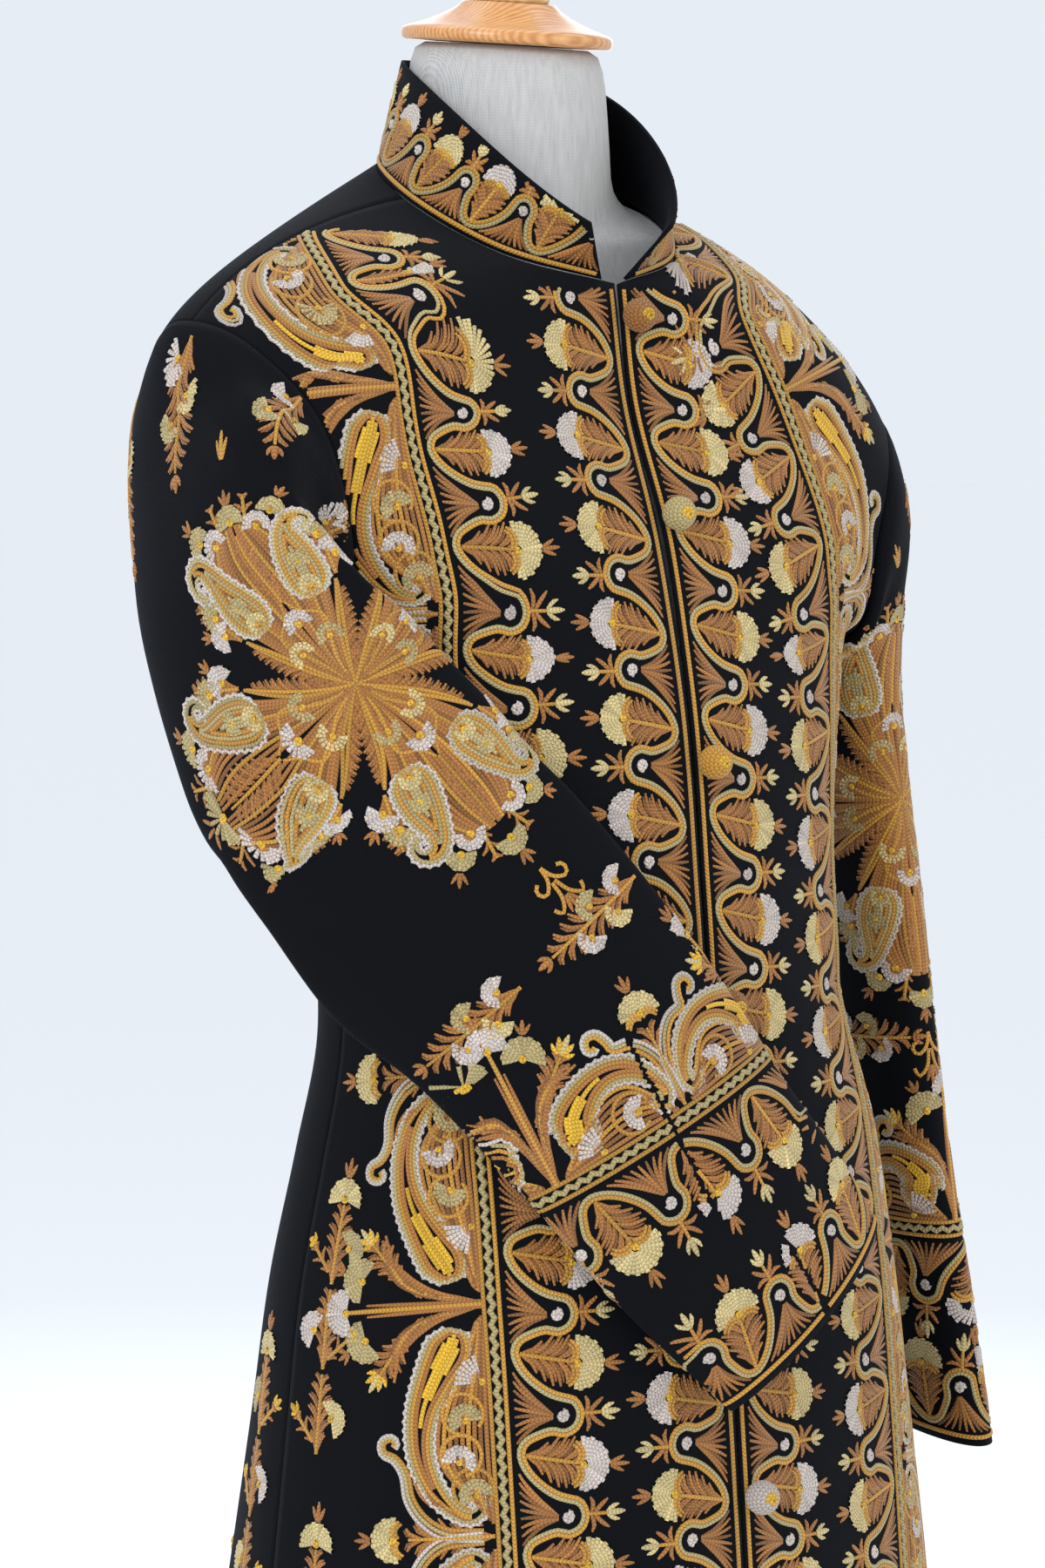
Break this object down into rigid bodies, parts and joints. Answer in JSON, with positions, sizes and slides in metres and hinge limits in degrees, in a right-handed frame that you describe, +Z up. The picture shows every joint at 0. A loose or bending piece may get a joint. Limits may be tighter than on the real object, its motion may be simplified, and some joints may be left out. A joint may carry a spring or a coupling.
{
  "type": "embroidered jacket on dress form",
  "caption": "Black wool jacket with stand collar, ball buttons and dense gold chain-stitch embroidery, worn by a limbless linen dress form on a round stand.",
  "frame": {"origin": "on the floor at the centre of the stand's round base", "axes": "+Z up along the pole; the jacket's front faces -Y; the wearer's right side is at -X"},
  "size_m": [0.5605, 0.38, 1.5764],
  "materials": {
    "wool_front_right": "black wool twill, almost covered by chain-stitch thread",
    "wool_front_left": "black wool twill, almost covered by chain-stitch thread",
    "wool_back": "black wool twill, almost covered by chain-stitch thread",
    "wool_sleeve_right_outer": "black wool twill, almost covered by chain-stitch thread",
    "wool_sleeve_right_inner": "black wool twill, almost covered by chain-stitch thread",
    "wool_sleeve_left_outer": "black wool twill, almost covered by chain-stitch thread",
    "wool_sleeve_left_inner": "black wool twill, almost covered by chain-stitch thread",
    "wool_collar": "black wool twill, almost covered by chain-stitch thread",
    "thread_button_1": "thread-covered ball",
    "thread_button_2": "thread-covered ball",
    "thread_button_3": "thread-covered ball",
    "thread_button_4": "thread-covered ball",
    "thread_button_5": "thread-covered ball",
    "thread_button_6": "thread-covered ball",
    "linen_cover": "light grey linen",
    "varnished_wood": "gloss varnish",
    "pale_wood": "satin",
    "stand_metal": "satin",
    "base_wood": "gloss varnish"
  },
  "bodies": {
    "root": {"jacket_front_right": "wool_front_right", "jacket_front_left": "wool_front_left", "jacket_back": "wool_back", "sleeve_right_outer": "wool_sleeve_right_outer", "sleeve_right_inner": "wool_sleeve_right_inner", "sleeve_left_outer": "wool_sleeve_left_outer", "sleeve_left_inner": "wool_sleeve_left_inner", "collar": "wool_collar", "button_1": "thread_button_1", "button_2": "thread_button_2", "button_3": "thread_button_3", "button_4": "thread_button_4", "button_5": "thread_button_5", "button_6": "thread_button_6", "form_torso": "linen_cover", "form_cap": "varnished_wood", "form_cap_knob": "pale_wood", "form_pole": "stand_metal", "form_base": "base_wood"}
  },
  "joints": []
}
